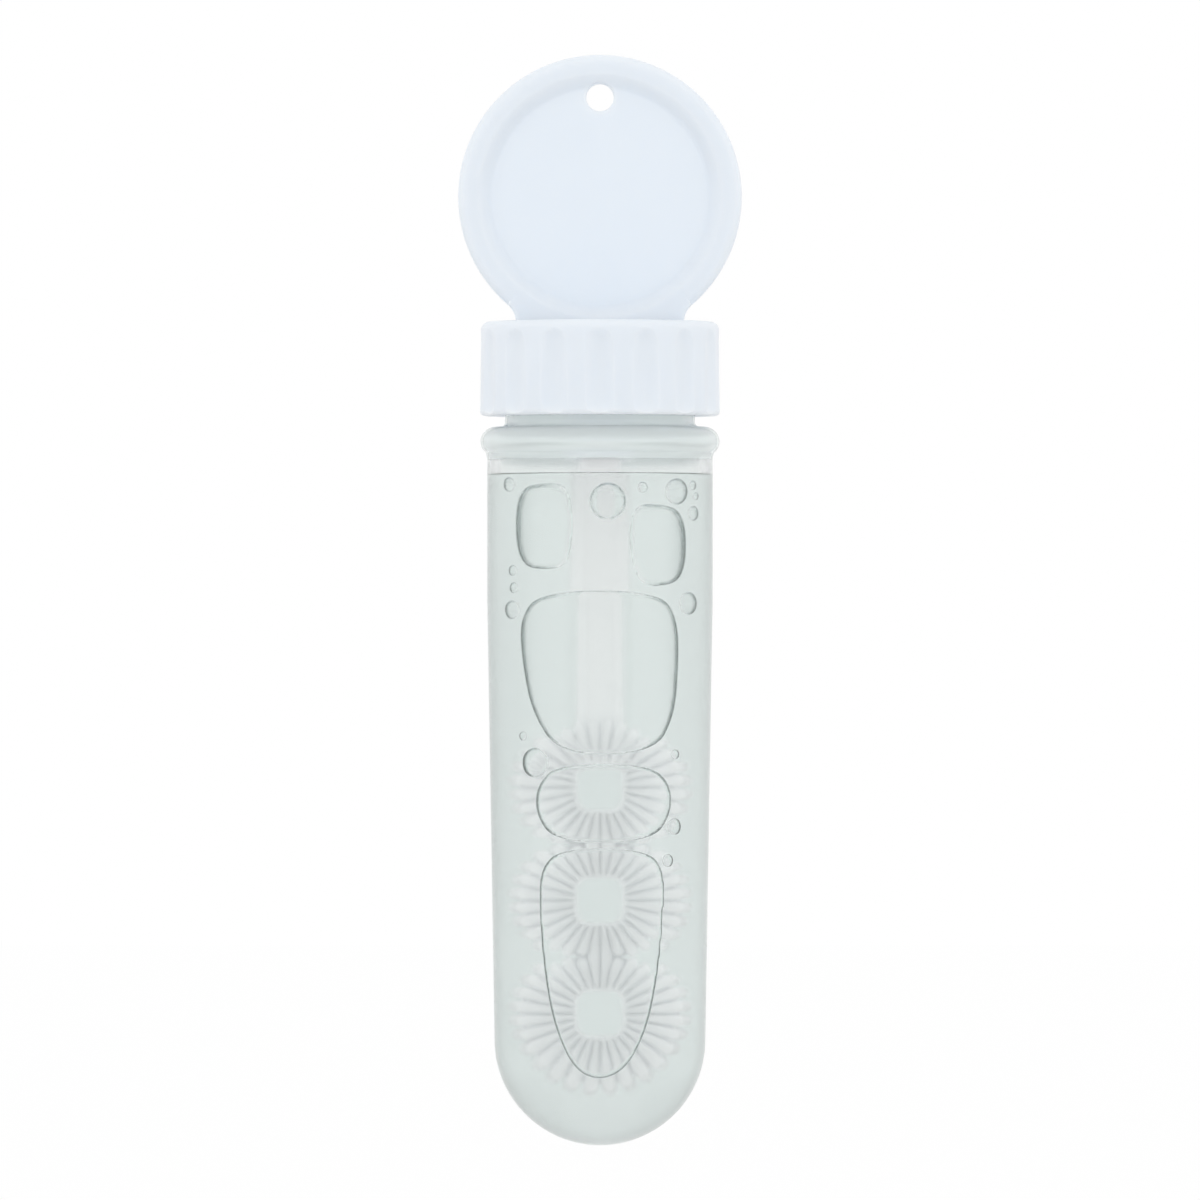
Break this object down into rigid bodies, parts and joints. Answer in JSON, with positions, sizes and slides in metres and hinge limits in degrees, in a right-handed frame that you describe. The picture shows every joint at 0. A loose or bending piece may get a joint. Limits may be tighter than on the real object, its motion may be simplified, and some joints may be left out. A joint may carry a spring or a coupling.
{
  "type": "bubble wand",
  "caption": "Clear round-ended tube of soap solution with a white screw cap; a round tag stands on the cap and a wand of ribbed rings hangs under it for blowing bubbles.",
  "frame": {"origin": "on the tube's axis, at the collar's underside, where a rack or clip ring stops", "axes": "+Z along the tube's axis from the round end to the tag, -Y out of the tag's front face, +X to the right of someone who looks at that face"},
  "size_m": [0.0312, 0.0264, 0.1199],
  "materials": {
    "clear_plastic": "clear, smooth, faint grey-green",
    "soap_solution": "clear watery liquid with air pockets",
    "foam_wad": "fine closed-cell foam",
    "white_plastic": "satin moulded, cool white",
    "wand_plastic": "wet moulded, white"
  },
  "bodies": {
    "tube": {"bubble_tube": "clear_plastic", "soap_solution": "soap_solution"},
    "wad": {"sealing_wad": "foam_wad"},
    "cap": {"screw_cap": "white_plastic", "wand": "wand_plastic"}
  },
  "joints": [
    {"name": "cap_draw", "type": "slide", "parent": "tube", "child": "wad", "axis": [0, 0, 1], "range_m": [0, 0.085], "deforming": ["soap_solution"]},
    {"name": "cap_turn", "type": "hinge", "parent": "wad", "child": "cap", "pos_m": [0, 0, 0.0131], "axis": [0, 0, 1], "range_deg": [0, 450]}
  ]
}
